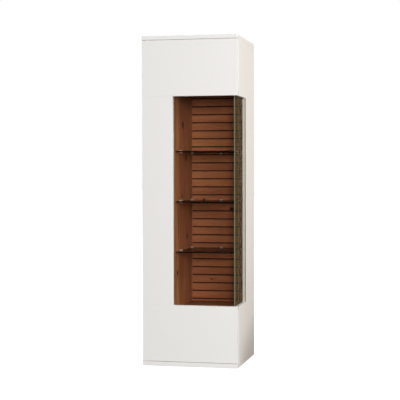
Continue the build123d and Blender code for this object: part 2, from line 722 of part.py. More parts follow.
with BuildPart() as hanger_adjusting_screws:
    for middle in hanger_middles:
        for z in hanger_screw_heights():
            head = (middle, hanger_front + ADJUSTER_SETBACK, z)
            rod(head, (0, 1, 0), ADJUSTER_HEAD_R, ADJUSTER_HEAD_H)
            shank = (middle, hanger_front + ADJUSTER_SETBACK + ADJUSTER_HEAD_H, z)
            rod(shank, (0, 1, 0), SCREW_R,
                HANGER_D - ADJUSTER_END_GAP - ADJUSTER_SETBACK - ADJUSTER_HEAD_H)
    for middle in hanger_middles:
        for z in hanger_screw_heights():
            cross_y = (hanger_front, hanger_front + ADJUSTER_SETBACK + CROSS_DEPTH)
            for width, height in ((CROSS_L, CROSS_W), (CROSS_W, CROSS_L)):
                slab((middle - width / 2, middle + width / 2), cross_y,
                     (z - height / 2, z + height / 2), Mode.SUBTRACT)
keep(hanger_adjusting_screws, "hanger_adjusting_screws")


# ---- pivots at the door's top and bottom edges -------------------------------------------
def pivot_plate(name, z):
    """Flat enamelled tongue, let in flush, that carries the pivot in front of the side boards."""
    with BuildPart() as plate:
        with BuildSketch(Plane.XY.offset(z)):
            pivot_footprint(0.0)
        extrude(amount=PIVOT_PLATE_T)
        fillet(plate.edges().filter_by(Axis.Z).group_by(Axis.Y)[-1], PLATE_CORNER_R)
        rod((pivot_x, pivot_y, z), (0, 0, 1), PIVOT_PIN_R, PIVOT_PLATE_T, Mode.SUBTRACT)
        for y in pivot_screw_ys():
            rod((inner_left + PIVOT_PLATE_W / 2, y, z), (0, 0, 1), SCREW_R, PIVOT_PLATE_T, Mode.SUBTRACT)
    keep(plate, name)


def pivot_pin(name, z, direction, gap):
    """Pin riveted into a pivot plate, across the gap and into the door's edge."""
    with BuildPart() as pin:
        length = PIVOT_PLATE_T + gap + PIVOT_PIN_L
        rod((pivot_x, pivot_y, z), (0, 0, direction), PIVOT_PIN_R, length)
        chamfer(pin.edges().filter_by(GeomType.CIRCLE), PIVOT_PIN_CHAMFER)
    keep(pin, name)


def pivot_bush(name, z, direction):
    """Nylon bush pressed into the door's edge."""
    with BuildPart() as bush:
        rod((pivot_x, pivot_y, z), (0, 0, direction), PIVOT_PIN_R + BUSH_WALL, PIVOT_PIN_L + BUSH_WALL)
        rod((pivot_x, pivot_y, z), (0, 0, direction), PIVOT_PIN_R + PIVOT_CLEARANCE,
            PIVOT_PIN_L + BUSH_END_GAP, Mode.SUBTRACT)
    keep(bush, name)


pivot_plate("pivot_upper_plate", top_face)
pivot_plate("pivot_lower_plate", bottom_face - PIVOT_PLATE_T)
pivot_pin("pivot_upper_pin", top_face + PIVOT_PLATE_T, -1, DOOR_TOP_GAP)
pivot_pin("pivot_lower_pin", bottom_face - PIVOT_PLATE_T, 1, DOOR_BOTTOM_GAP)
pivot_bush("pivot_upper_bush", door_top, -1)
pivot_bush("pivot_lower_bush", door_bottom, 1)

with BuildPart() as pivot_thrust_washer:
    washer_t = DOOR_BOTTOM_GAP - THRUST_GAP
    rod((pivot_x, pivot_y, bottom_face), (0, 0, 1), WASHER_R, washer_t)
    rod((pivot_x, pivot_y, bottom_face), (0, 0, 1), PIVOT_PIN_R, washer_t, Mode.SUBTRACT)
keep(pivot_thrust_washer, "pivot_thrust_washer")

with BuildPart() as pivot_plate_screws:
    for y in pivot_screw_ys():
        screw_x = inner_left + PIVOT_PLATE_W / 2
        grip = PIVOT_PLATE_T + SCREW_GRIP
        screw((screw_x, y, bottom_face), (0, 0, -1), grip)
        screw((screw_x, y, top_face), (0, 0, 1), grip)
keep(pivot_plate_screws, "pivot_plate_screws")

# ---- push latches ------------------------------------------------------------------------
strike_face = door_back + STRIKE_T
plunger_tip = strike_face + STRIKE_GAP
collar_front = latch_front + LATCH_LIP + COLLAR_GAP
collar_back = collar_front + COLLAR_L
bore_back = latch_front + LATCH_L - END_CAP_T
spring_length = bore_back - collar_back


def push_latch(name, z):
    """Housing, sprung plunger, spring and end cap of one push-to-open latch."""
    with BuildPart() as housing:
        slab((inner_right - LATCH_W, inner_right), (latch_front, latch_front + LATCH_L),
             (z - LATCH_H / 2, z + LATCH_H / 2))
        fillet(housing.faces().sort_by(Axis.X)[0].edges(), LATCH_ROUND)
        rod((latch_x, latch_front, z), (0, 1, 0), PLUNGER_R + PLUNGER_CLEARANCE, LATCH_LIP, Mode.SUBTRACT)
        rod((latch_x, latch_front + LATCH_LIP, z), (0, 1, 0), COLLAR_R + PLUNGER_CLEARANCE,
            LATCH_L - LATCH_LIP, Mode.SUBTRACT)
        for screw_z, screw_y in latch_screw_places():
            seat = inner_right - LATCH_W
            rod((seat, screw_y, screw_z), (1, 0, 0), SCREW_R, LATCH_W, Mode.SUBTRACT)
    keep(housing, f"latch_{name}_housing")

    with BuildPart() as plunger:
        rod((latch_x, plunger_tip, z), (0, 1, 0), PLUNGER_R, collar_front - plunger_tip)
        rod((latch_x, collar_front, z), (0, 1, 0), COLLAR_R, COLLAR_L)
        rod((latch_x, collar_back, z), (0, 1, 0), STEM_R, STEM_L)
        fillet(plunger.edges().filter_by(GeomType.CIRCLE).group_by(Axis.Y)[0], PLUNGER_ROUND)
    keep(plunger, f"latch_{name}_plunger")

    with BuildPart() as spring:
        coil_start = (latch_x, collar_back + WIRE_R, z)
        with BuildLine() as coil:
            Helix(pitch=(spring_length - 2 * WIRE_R) / SPRING_TURNS, height=spring_length - 2 * WIRE_R,
                  radius=SPRING_R, center=coil_start, direction=(0, 1, 0))
        with BuildSketch(Plane(origin=coil.line @ 0, z_dir=coil.line % 0)):
            Circle(WIRE_R)
        sweep(is_frenet=True)
    keep(spring, f"latch_{name}_spring")


for latch_name, latch_z in zip(("lower", "upper"), latch_heights):
    push_latch(latch_name, latch_z)

with BuildPart() as latch_end_caps:
    for latch_z in latch_heights:
        rod((latch_x, bore_back, latch_z), (0, 1, 0), COLLAR_R + PLUNGER_CLEARANCE, END_CAP_T)
keep(latch_end_caps, "latch_end_caps")

with BuildPart() as latch_housing_screws:
    for screw_z, screw_y in latch_screw_places():
        screw((inner_right - LATCH_W, screw_y, screw_z), (1, 0, 0), LATCH_W + SCREW_GRIP)
keep(latch_housing_screws, "latch_housing_screws")

with BuildPart() as latch_strike_plates:
    for latch_z in latch_heights:
        slab((latch_x - LATCH_W / 2, latch_x + LATCH_W / 2), (door_back, strike_face),
             (latch_z - STRIKE_H / 2, latch_z + STRIKE_H / 2))
    fillet(latch_strike_plates.edges().filter_by(Axis.Y), PLATE_CORNER_R)
    for height in strike_screw_heights():
        rod((latch_x, door_back, height), (0, 1, 0), SCREW_R, STRIKE_T, Mode.SUBTRACT)
keep(latch_strike_plates, "latch_strike_plates")

with BuildPart() as latch_strike_screws:
    for height in strike_screw_heights():
        screw((latch_x, strike_face, height), (0, -1, 0), STRIKE_T + SCREW_GRIP)
keep(latch_strike_screws, "latch_strike_screws")


# ---- door --------------------------------------------------------------------------------
def door_board(name, x, z):
    """One of the three butt-jointed boards of the door, bored for what it carries."""
    with BuildPart() as board:
        slab(x, (door_front, door_back), z)
        fillet(board.faces().sort_by(Axis.Y)[0].edges(), ARRIS)
        for start in door_dowel_starts():
            rod(start, (0, 0, 1), DOWEL_R, DOWEL_L, Mode.SUBTRACT)
        bush_bore = PIVOT_PIN_L + BUSH_WALL
        rod((pivot_x, pivot_y, door_top), (0, 0, -1), PIVOT_PIN_R + BUSH_WALL, bush_bore, Mode.SUBTRACT)
        rod((pivot_x, pivot_y, door_bottom), (0, 0, 1), PIVOT_PIN_R + BUSH_WALL, bush_bore, Mode.SUBTRACT)
        for height in strike_screw_heights():
            rod((latch_x, door_back, height), (0, -1, 0), SCREW_R, SCREW_GRIP, Mode.SUBTRACT)
    keep(board, name)


door_board("door_upper_board", (door_left, door_right), (seam_high, door_top))
door_board("door_lower_board", (door_left, door_right), (door_bottom, seam_low))
door_board("door_left_stile", (door_left, opening_left), (seam_low, seam_high))

with BuildPart() as door_dowels:
    for start in door_dowel_starts():
        rod(start, (0, 0, 1), DOWEL_R, DOWEL_L)
keep(door_dowels, "door_dowels")

with BuildPart() as door_glass_pane:
    slab((opening_left - GLASS_LAP, door_right), (door_pane_front, door_pane_back),
         (seam_low - GLASS_LAP, seam_high + GLASS_LAP))
    chamfer(door_glass_pane.edges().group_by(Axis.X)[-1], GLASS_EDGE)
keep(door_glass_pane, "door_glass_pane")

with BuildPart() as door_glass_tape:
    tape_y = (door_back, door_pane_front)
    pane_left = opening_left - GLASS_LAP
    slab((pane_left, door_right - ARRIS), tape_y, (seam_high + GLASS_LAP - TAPE_W, seam_high + GLASS_LAP))
    slab((pane_left, door_right - ARRIS), tape_y, (seam_low - GLASS_LAP, seam_low - GLASS_LAP + TAPE_W))
    slab((pane_left, pane_left + TAPE_W), tape_y,
         (seam_low - GLASS_LAP + TAPE_W, seam_high + GLASS_LAP - TAPE_W))
keep(door_glass_tape, "door_glass_tape")
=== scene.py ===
"""Wall-hung display cabinet: white lacquered boards, dark knotty oak lining, glass door, corner pane and shelves.

The frame gives every board, pane and fitting. This file gives each of them its finish, carves the oak slats and
the oak partition as surfaces with real grain relief, winds the latches' springs, and sets up the studio.
Lengths are metres. X runs to the right seen from the front, the front faces -Y and the wall is the plane y = 0.
"""
import json
import math

import bpy
import numpy as np
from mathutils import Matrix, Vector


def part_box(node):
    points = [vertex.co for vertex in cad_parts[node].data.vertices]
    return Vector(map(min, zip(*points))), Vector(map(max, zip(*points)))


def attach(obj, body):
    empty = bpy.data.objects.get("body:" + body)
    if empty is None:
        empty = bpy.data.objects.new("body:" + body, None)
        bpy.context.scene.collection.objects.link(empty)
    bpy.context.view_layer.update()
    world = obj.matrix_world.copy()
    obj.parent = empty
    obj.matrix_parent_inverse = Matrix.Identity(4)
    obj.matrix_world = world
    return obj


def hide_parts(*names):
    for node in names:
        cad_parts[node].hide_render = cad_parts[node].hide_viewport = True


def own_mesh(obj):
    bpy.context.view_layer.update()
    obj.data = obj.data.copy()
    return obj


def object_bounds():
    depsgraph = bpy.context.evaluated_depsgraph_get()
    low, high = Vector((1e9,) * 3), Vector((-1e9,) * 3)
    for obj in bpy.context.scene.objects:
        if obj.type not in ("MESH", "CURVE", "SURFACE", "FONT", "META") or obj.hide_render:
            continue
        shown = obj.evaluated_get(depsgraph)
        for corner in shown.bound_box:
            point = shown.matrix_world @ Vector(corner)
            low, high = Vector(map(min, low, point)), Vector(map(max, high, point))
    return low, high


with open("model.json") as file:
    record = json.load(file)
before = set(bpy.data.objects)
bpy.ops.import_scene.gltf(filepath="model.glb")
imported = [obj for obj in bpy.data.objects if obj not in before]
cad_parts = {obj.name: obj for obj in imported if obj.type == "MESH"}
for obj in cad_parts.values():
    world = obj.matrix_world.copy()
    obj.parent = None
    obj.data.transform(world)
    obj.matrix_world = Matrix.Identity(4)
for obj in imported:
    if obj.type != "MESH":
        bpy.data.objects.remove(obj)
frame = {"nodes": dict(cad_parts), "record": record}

CAD_BOX = [list(corner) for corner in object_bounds()]
MM = 0.001
SAME_PLACE = 0.01 * MM          # points closer than this count as one place


# ---- shader sums -------------------------------------------------------------------------
PLAIN_IOR = 1.5                 # of a finish that gives none


class Value:
    """A number socket of a finish. Sums and products written with it add Math nodes."""

    def __init__(self, finish, socket):
        self.finish = finish
        self.socket = socket

    def math(self, operation, first, second):
        """One Math node on two numbers or sockets."""
        return self.finish.node("ShaderNodeMath", {"operation": operation}, {0: first, 1: second})

    def __add__(self, other):
        return self.math("ADD", self, other)

    def __radd__(self, other):
        return self.math("ADD", other, self)

    def __sub__(self, other):
        return self.math("SUBTRACT", self, other)

    def __rsub__(self, other):
        return self.math("SUBTRACT", other, self)

    def __mul__(self, other):
        return self.math("MULTIPLY", self, other)

    def __rmul__(self, other):
        return self.math("MULTIPLY", other, self)

    def __truediv__(self, other):
        return self.math("DIVIDE", self, other)

    def __pow__(self, other):
        return self.math("POWER", self, other)

    def __abs__(self):
        return self.math("ABSOLUTE", self, 0.0)

    def larger(self, other):
        """The larger of two numbers."""
        return self.math("MAXIMUM", self, other)


class Nodes:
    """An owner's node tree, emptied and ready to be filled."""

    def __init__(self, owner):
        owner.use_nodes = True
        self.owner = owner
        self.tree = owner.node_tree
        self.tree.nodes.clear()

    def node(self, kind, settings=None, inputs=None, out=0):
        """Adds a node, gives it its settings, then its sockets' values or links, and returns one output."""
        made = self.tree.nodes.new(kind)
        for name, value in (settings or {}).items():
            if name == "stops":
                self.set_stops(made.color_ramp, value)
            else:
                setattr(made, name, value)
        for name, value in (inputs or {}).items():
            if isinstance(value, Value):
                self.tree.links.new(value.socket, made.inputs[name])
            else:
                made.inputs[name].default_value = value
        return Value(self, made.outputs[out])

    @staticmethod
    def set_stops(ramp, stops):
        """Sets a ramp's stops from (position, colour) pairs."""
        while len(ramp.elements) < len(stops):
            ramp.elements.new(1.0)
        for element, (position, colour) in zip(ramp.elements, stops):
            element.position = position
            element.color = colour

    def parts(self, vector):
        """The three parts of a vector, as numbers."""
        split = self.node("ShaderNodeSeparateXYZ", {}, {0: vector})
        outputs = split.socket.node.outputs
        return [Value(self, outputs[i]) for i in range(3)]

    def join(self, x, y, z):
        """A vector from its three parts."""
        return self.node("ShaderNodeCombineXYZ", {}, {0: x, 1: y, 2: z})

    def stretch(self, vector, scale):
        """A vector with its parts multiplied by three numbers."""
        return self.node("ShaderNodeVectorMath", {"operation": "MULTIPLY"}, {0: vector, 1: scale})

    def noise(self, vector, scale, detail=2.0, roughness=0.5, distortion=0.0):
        """Soft noise from 0 to 1, about `scale` swells to the metre."""
        inputs = {"Vector": vector, "Scale": scale, "Detail": detail,
                  "Roughness": roughness, "Distortion": distortion}
        return self.node("ShaderNodeTexNoise", {}, inputs)

    def cells(self, vector, scale, out="Distance"):
        """Cells scattered through space: the distance to the nearest cell's middle, or its colour."""
        return self.node("ShaderNodeTexVoronoi", {}, {"Vector": vector, "Scale": scale}, out)

    def step(self, value, low, high):
        """0 below `low`, 1 above `high`, and a smooth rise between; `low` above `high` turns it round."""
        inputs = {"Value": value, "From Min": low, "From Max": high}
        return self.node("ShaderNodeMapRange", {"interpolation_type": "SMOOTHSTEP"}, inputs)

    def spread(self, value, low, high):
        """A number from 0 to 1 spread evenly between two others."""
        inputs = {"Value": value, "To Min": low, "To Max": high}
        return self.node("ShaderNodeMapRange", {}, inputs)

    def ramp(self, value, *stops):
        """A colour ramp through (position, colour) stops."""
        return self.node("ShaderNodeValToRGB", {"stops": stops}, {0: value})

    def attribute(self, name, out="Fac"):
        """A number or vector that the mesh carries."""
        return self.node("ShaderNodeAttribute", {"attribute_name": name}, out=out)

    def whole(self, operation, value):
        """A number's whole part (FLOOR) or what is left over it (FRACT)."""
        return self.node("ShaderNodeMath", {"operation": operation}, {0: value})

    def blend(self, share, first, second):
        """One colour over another by a share."""
        return self.node("ShaderNodeMix", {"data_type": "RGBA"}, {0: share, 6: first, 7: second}, 2)

    def bump(self, height, distance, strength):
        """A normal roughened by a height from 0 to 1 that stands for a real distance."""
        inputs = {"Height": height, "Distance": distance, "Strength": strength}
        return self.node("ShaderNodeBump", {}, inputs)

    def mix(self, share, first, second):
        """One shader over another by a share."""
        return self.node("ShaderNodeMixShader", {}, {0: share, 1: first, 2: second})

    def own_normal(self):
        """The flat face normal in the piece's own axes, which turns with a piece that swings."""
        settings = {"vector_type": "NORMAL", "convert_from": "WORLD", "convert_to": "OBJECT"}
        flat = self.node("ShaderNodeNewGeometry", out="True Normal")
        return self.node("ShaderNodeVectorTransform", settings, {"Vector": flat})

    def facing(self, axis):
        """How squarely a face looks along an axis, from 0 to 1."""
        return abs(self.parts(self.own_normal())[axis])

    def principled(self, **sockets):
        """The main shader. A socket's name is given in small letters, with underlines for its spaces."""
        inputs = {name.replace("_", " ").title(): value for name, value in sockets.items()}
        inputs["IOR"] = inputs.pop("Ior", PLAIN_IOR)
        return self.node("ShaderNodeBsdfPrincipled", {}, inputs)

    def close(self, shader, kind="ShaderNodeOutputMaterial"):
        """Ends the tree with a shader and returns its owner."""
        output = self.tree.nodes.new(kind)
        self.tree.links.new(shader.socket, output.inputs["Surface"])
        return self.owner


class Finish(Nodes):
    """A material. `place` is the piece's own coordinates."""

    def __init__(self, name):
        super().__init__(bpy.data.materials.new(name))
        self.place = self.node("ShaderNodeTexCoord", out="Object")


def shade(red, green, blue):
    """A display colour given from 0 to 255, as the light values that a shader takes."""
    values = [c / 255.0 for c in (red, green, blue)]
    light = [c / 12.92 if c <= 0.04045 else ((c + 0.055) / 1.055) ** 2.4 for c in values]
    return (*light, 1.0)


def grey(level):
    """An even grey of a light value."""
    return (level, level, level, 1.0)


def dimmed(colour, share):
    """A colour with its light cut to a share."""
    return [part * share for part in colour[:3]] + [1.0]


# ---- lacquer and boards ------------------------------------------------------------------
WHITE = shade(231, 229, 227)
# painted shade for a board's front face, and a painted shadow line along its right face
PAINTED_EDGE_SHADE = shade(188, 180, 166)
PAINTED_SHADOW_LINE = shade(112, 106, 98)
SHADOW_LINE_START = 5.5 * MM           # how far inside the board's right face the painted shadow line begins
SHADOW_LINE_FULL = 4.0 * MM            # and where it has its full colour
PEEL_DEPTH = 0.06 * MM


def lacquer(name, colour, peel=1.0, cut=None):
    """Sprayed satin lacquer: orange peel about a millimetre across, and a slow drift of tone and gloss.

    `cut` is the x of a board's right-hand face, for a board whose faces along Y are darkened as painted shade,
    with a painted shadow line along that right-hand face.
    """
    f = Finish(name)
    peel_height = f.noise(f.place, 850.0, 2.0)
    drift = f.noise(f.place, 5.0, 3.0)
    dust = f.step(f.noise(f.place, 2600.0, 1.0), 0.72, 0.78)
    base = f.blend(f.spread(drift, 0.0, 0.35), colour, dimmed(colour, 0.972))
    if cut:
        # painted shade: faces along Y turn beige-grey, and a painted shadow line runs just inside the right face
        edge_shade = f.step(f.facing(1), 0.7, 0.98)
        shadow_line = f.step(f.parts(f.place)[0], cut - SHADOW_LINE_START, cut - SHADOW_LINE_FULL)
        base = f.blend(edge_shade, base, f.blend(shadow_line, PAINTED_EDGE_SHADE, PAINTED_SHADOW_LINE))
    sheen = f.spread(f.noise(f.place, 23.0, 4.0), 0.33, 0.43) + dust * 0.15
    normal = f.bump(peel_height, PEEL_DEPTH, 0.35 * peel)
    return f.close(f.principled(base_color=base, roughness=sheen, normal=normal, ior=1.48,
                                coat_weight=0.25, coat_roughness=0.18))


def printed_hardboard(name):
    """A thin back board: matt white foil inside, raw brown hardboard with matted fibres towards the wall."""
    f = Finish(name)
    outside = f.step(f.parts(f.own_normal())[1], 0.4, 0.6)
    fibres = f.noise(f.stretch(f.place, (1.0, 1.0, 0.55)), 420.0, 6.0, 0.7)
    flecks = f.step(f.noise(f.place, 1500.0, 2.0), 0.62, 0.75)
    raw = f.ramp(fibres, (0.3, shade(112, 78, 50)), (0.7, shade(158, 118, 80)))
    raw = f.blend(flecks, raw, shade(84, 56, 34))
    white = f.blend(f.noise(f.place, 9.0), shade(232, 229, 222), shade(224, 221, 213))
    normal = f.bump(fibres, 0.12 * MM, f.spread(outside, 0.1, 0.6))
    return f.close(f.principled(base_color=f.blend(outside, white, raw), roughness=f.spread(outside, 0.5, 0.86),
                                normal=normal, ior=1.46))


def stained_board(name):
    """Black-stained fibreboard seen through the gaps between the slats."""
    f = Finish(name)
    fibres = f.noise(f.place, 700.0, 5.0, 0.7)
    base = f.ramp(fibres, (0.3, shade(6, 3, 2)), (0.8, shade(22, 13, 9)))
    return f.close(f.principled(base_color=base, roughness=0.85, normal=f.bump(fibres, 0.1 * MM, 0.5)))


# ---- oak ---------------------------------------------------------------------------------
OAK_DARK = shade(78, 39, 20)
OAK_BROWN = shade(122, 71, 40)
OAK_TAN = shade(153, 98, 58)
OAK_PALE = shade(181, 127, 83)
OAK_RED = shade(139, 72, 46)
BOARD_TONES = (OAK_DARK, OAK_BROWN, OAK_TAN, OAK_PALE)
SLAT_TONES = (shade(106, 57, 29), shade(146, 82, 44), shade(171, 104, 60), shade(191, 130, 82))
KNOT_BROWN = shade(44, 20, 10)
KNOT_AND_GROOVE_SHADE_BLACK = shade(20, 9, 5)
TONE_STOPS = (0.22, 0.42, 0.6, 0.82)      # where the four tones stand between dark and pale
FIBRE_DEPTH = 0.12 * MM
RINGS_PER_METRE = 62.0
VENEER_STRIP = 0.085
VENEER_WARMTH = 0.1


def oak_surface(f, tones, along, across, board, lift, warmth, knot, hollow):
    """Oiled rustic oak from coordinates along and across the grain.

    Slow noise drawn out along the grain gives the light and dark streaks; a saw-tooth of the warped distance
    across gives the year rings; short thin noise gives the open pores. Knots darken towards their cores.
    `lift` makes a board paler or darker, and `warmth` is the share of red in it.
    """
    lane = f.join(along * 1.0, across * 9.0, board * 3.7)
    streaks = f.noise(lane, 2.6, 5.0, 0.62, 0.35)
    wander = f.noise(f.join(along * 2.2, across * 6.0, board * 2.3), 1.7, 2.0)
    rings = f.whole("FRACT", across * RINGS_PER_METRE + wander * 6.5)
    late = f.step(rings, 0.55, 0.98) * f.step(rings, 1.0, 0.985)
    fibres = f.noise(f.join(along * 14.0, across * 620.0, board), 1.0, 4.0, 0.65)
    pores = f.step(f.noise(f.join(along * 75.0, across * 1500.0, board), 1.0, 2.0), 0.62, 0.72)
    ray = f.step(f.noise(f.join(along * 30.0, across * 90.0, board * 5.1), 1.0, 1.0), 0.66, 0.74)

    tone = streaks * 0.62 + fibres * 0.2 - late * 0.07 + wander * 0.2 - 0.02 + lift
    wood = f.ramp(tone, *zip(TONE_STOPS, tones))
    reddish = f.step(f.noise(f.join(along * 1.3, across * 5.0, board * 6.1 + 3.0), 1.6, 2.0), 0.42, 0.66)
    wood = f.blend(reddish * 0.3 + warmth, wood, OAK_RED)
    wood = f.blend(ray * 0.12, wood, OAK_PALE)
    wood = f.blend(pores * 0.5, wood, OAK_DARK)
    wood = f.blend(f.step(knot, 0.05, 0.55) * 0.72, wood, KNOT_BROWN)
    # knot cores and hollows go near black; on the slats this also paints the shade of the grooves between them
    dark_core_and_groove_shade = f.step(knot, 0.55, 1.0).larger(hollow)
    wood = f.blend(dark_core_and_groove_shade * 0.92, wood, KNOT_AND_GROOVE_SHADE_BLACK)

    height = fibres * 0.55 - pores * 0.8 - late * 0.2
    normal = f.bump(height, FIBRE_DEPTH, 0.55)
    gloss = f.spread(streaks, 0.62, 0.5) + pores * 0.2 + dark_core_and_groove_shade * 0.15
    return f.close(f.principled(base_color=wood, roughness=gloss, normal=normal, ior=1.45))


def carved_oak(name, tones):
    """Oak for the carved pieces, which carry their own grain coordinates, tones, knots and hollows; on the slats the
    hollows also hold painted groove shade.
    """
    f = Finish(name)
    along, across, board = f.parts(f.attribute("grain", "Vector"))
    lift, warmth, knot, hollow = (f.attribute(field) for field in ("lift", "warmth", "knot", "hollow"))
    return oak_surface(f, tones, along, across, board, lift, warmth, knot, hollow)


def veneered_oak(name):
    """Oak veneer laid in strips that run from side to side, with small knots scattered in it."""
    f = Finish(name)
    x, y, z = f.parts(f.place)
    board = f.whole("FLOOR", (y + 0.5) / VENEER_STRIP)
    spots = f.cells(f.join(x * 0.6, y, board), 9.0)
    knot = f.step(spots, 0.11, 0.03)
    across = y + z + f.noise(f.place, 3.0) * 0.01
    none = knot * 0.0
    return oak_surface(f, BOARD_TONES, x, across, board, none, none + VENEER_WARMTH, knot, none)


# ---- glass -------------------------------------------------------------------------------
GLASS_HEAD_ON = 0.04            # what plain glass mirrors looked at straight on
GLASS_GRAZING = 0.96            # and how much more of it at a grazing look
GRAZING_POWER = 5.0
EDGE_COVER = 0.94               # how opaque the edges are


def plate_glass(name, face_axis, body, edge, shine, glint=grey(1.0)):
    """Polished plate: two clear faces with a thin mirror over them, and darker ground edges.

    `face_axis` is the axis that the two large faces look along, `body` the colour that one face passes,
    `edge` the colour of the edges, `shine` the share of a plain glass mirror that the coated faces keep, and
    `glint` the mirror's colour.
    """
    f = Finish(name)
    rim = f.step(f.facing(face_axis), 0.9, 0.5)
    slant = f.node("ShaderNodeLayerWeight", {}, {"Blend": 0.5}, "Facing")
    mirror = f.node("ShaderNodeBsdfAnisotropic", {}, {"Color": glint, "Roughness": 0.03})
    clear = f.node("ShaderNodeBsdfTransparent", {}, {"Color": body})
    share = (slant ** GRAZING_POWER * GLASS_GRAZING + GLASS_HEAD_ON) * shine
    pane = f.mix(share, clear, mirror)
    wavy = f.bump(f.noise(f.place, 300.0), 0.05 * MM, 0.2)
    band = f.principled(base_color=edge, roughness=0.12, normal=wavy, coat_weight=0.4, coat_roughness=0.05)
    return f.close(f.mix(rim * EDGE_COVER, pane, band))


# ---- metals and plastics -----------------------------------------------------------------
def plated(name, colour, roughness, lane, metal=1.0):
    """Plated metal with fine polishing lines drawn out by `lane`, and a few duller patches."""
    f = Finish(name)
    lines = f.noise(f.stretch(f.place, lane), 1.0, 4.0, 0.6)
    patches = f.noise(f.place, 60.0, 3.0)
    base = f.blend(f.spread(patches, 0.0, 0.5), colour, dimmed(colour, 0.86))
    gloss = f.spread(lines, roughness - 0.06, roughness + 0.1) + f.step(patches, 0.55, 0.8) * 0.1
    normal = f.bump(lines, 0.01 * MM, 0.3)
    return f.close(f.principled(base_color=base, metallic=metal, roughness=gloss, normal=normal))


def zinc(name):
    """Blue-white zinc plate with a faint crystal pattern and rainbow-brown stains."""
    f = Finish(name)
    crystal = f.parts(f.cells(f.place, 260.0, "Color"))[0]
    stains = f.step(f.noise(f.place, 38.0, 4.0), 0.52, 0.72)
    base = f.blend(crystal * 0.5, shade(186, 188, 192), shade(158, 161, 166))
    base = f.blend(stains * 0.35, base, shade(176, 164, 132))
    scratches = f.noise(f.stretch(f.place, (40.0, 900.0, 900.0)), 1.0, 3.0)
    gloss = f.spread(crystal, 0.3, 0.42) + stains * 0.08
    normal = f.bump(scratches, 0.02 * MM, 0.35)
    return f.close(f.principled(base_color=base, metallic=1.0, roughness=gloss, normal=normal))


def moulded(name, colour, roughness, grain_size):
    """Moulded plastic with a fine spark-eroded texture."""
    f = Finish(name)
    texture = f.noise(f.place, 1.0 / grain_size, 3.0, 0.6)
    flow = f.noise(f.place, 45.0, 3.0)
    base = f.blend(f.spread(flow, 0.0, 0.6), colour, dimmed(colour, 0.9))
    gloss = f.spread(texture, roughness - 0.06, roughness + 0.08)
    return f.close(f.principled(base_color=base, roughness=gloss, normal=f.bump(texture, 0.05 * MM, 0.4)))


def dowel_beech(name):
    """Pressed beech with flecks along the dowel."""
    f = Finish(name)
    flecks = f.step(f.noise(f.stretch(f.place, (300.0, 900.0, 900.0)), 1.0, 3.0), 0.55, 0.7)
    base = f.blend(f.noise(f.place, 60.0, 4.0), shade(214, 178, 138), shade(192, 150, 108))
    base = f.blend(flecks * 0.6, base, shade(150, 104, 68))
    return f.close(f.principled(base_color=base, roughness=0.7, normal=f.bump(flecks, 0.05 * MM, 0.4)))


def bonding_tape(name):
    """Milky acrylic tape with trapped bubbles."""
    f = Finish(name)
    bubbles = f.step(f.cells(f.place, 900.0), 0.3, 0.12)
    base = f.blend(bubbles, shade(206, 204, 198), shade(232, 231, 226))
    body = f.principled(base_color=base, roughness=f.spread(bubbles, 0.45, 0.25), ior=1.47)
    gap = f.node("ShaderNodeBsdfTransparent")
    return f.close(f.mix(f.spread(bubbles, 0.75, 0.5), gap, body))


FINISHES = {
    "white_lacquer": lacquer("white_satin_lacquer", WHITE),
    "white_board": printed_hardboard("printed_hardboard"),
    "oak_veneer": veneered_oak("oak_veneer_strips"),
    "oak_slat": carved_oak("oak_slat_boards", SLAT_TONES),
    "black_backing": stained_board("black_stained_board"),
    "clear_glass": plate_glass("clear_plate_glass", 1, (0.965, 0.975, 0.965, 1.0), shade(72, 64, 50), 0.25),
    "smoked_glass": plate_glass("smoked_plate_glass", 2, (0.58, 0.54, 0.49, 1.0), shade(16, 13, 10), 0.4),
    "nickel": plated("satin_nickel", shade(236, 232, 226), 0.34, (900.0, 900.0, 120.0), 0.7),
    "steel": zinc("zinc_plate"),
    "white_enamel": lacquer("white_stove_enamel", WHITE, 0.6),
    "spring_steel": plated("drawn_wire", shade(150, 150, 154), 0.3, (700.0, 120.0, 700.0)),
    "grey_plastic": moulded("grey_nylon", shade(176, 176, 172), 0.5, 0.9 * MM),
    "white_nylon": moulded("white_nylon", shade(226, 225, 218), 0.42, 1.3 * MM),
    "beech": dowel_beech("pressed_beech"),
    "clear_tape": bonding_tape("acrylic_tape"),
}
SIDE_GLASS = plate_glass("clear_corner_glass", 0, (0.8, 0.79, 0.75, 1.0), shade(128, 128, 108), 0.4,
                         (0.95, 0.78, 0.6, 1.0))
# the rear stile's front face gets painted shade and a painted shadow line
STILE_LACQUER = lacquer("primed_edge_lacquer", WHITE, cut=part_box("right_side_rear_stile")[1].x)
PARTITION_OAK = carved_oak("oak_partition_veneer", BOARD_TONES)


def shown(name, data):
    """A new object of the scene from its data."""
    item = bpy.data.objects.new(name, data)
    bpy.context.scene.collection.objects.link(item)
    return item


def dress(piece, material):
    """Gives a piece one material in place of what it has."""
    piece.data.materials.clear()
    piece.data.materials.append(material)


def dress_frame():
    """Gives each node the finish of its material slot; the corner pane and the rear stile have their own."""
    for subpart in frame["record"]["subparts"]:
        node = frame["nodes"][subpart["node"]]
        dress(node, FINISHES[subpart["material_slot"]])
    dress(frame["nodes"]["side_glass_pane"], SIDE_GLASS)
    dress(frame["nodes"]["right_side_rear_stile"], STILE_LACQUER)


# ---- carved surfaces ---------------------------------------------------------------------
KNOT_DEPTH = 0.35 * MM
CRACK_DEPTH = 0.7 * MM
ARC_POINTS = 4                  # points over each rounded edge
QUARTER = np.linspace(0.0, math.pi / 2.0, ARC_POINTS)


def smooth(t):
    """The smooth step 3t^2 - 2t^3 of a value held between 0 and 1."""
    t = np.clip(t, 0.0, 1.0)
    return t * t * (3.0 - 2.0 * t)


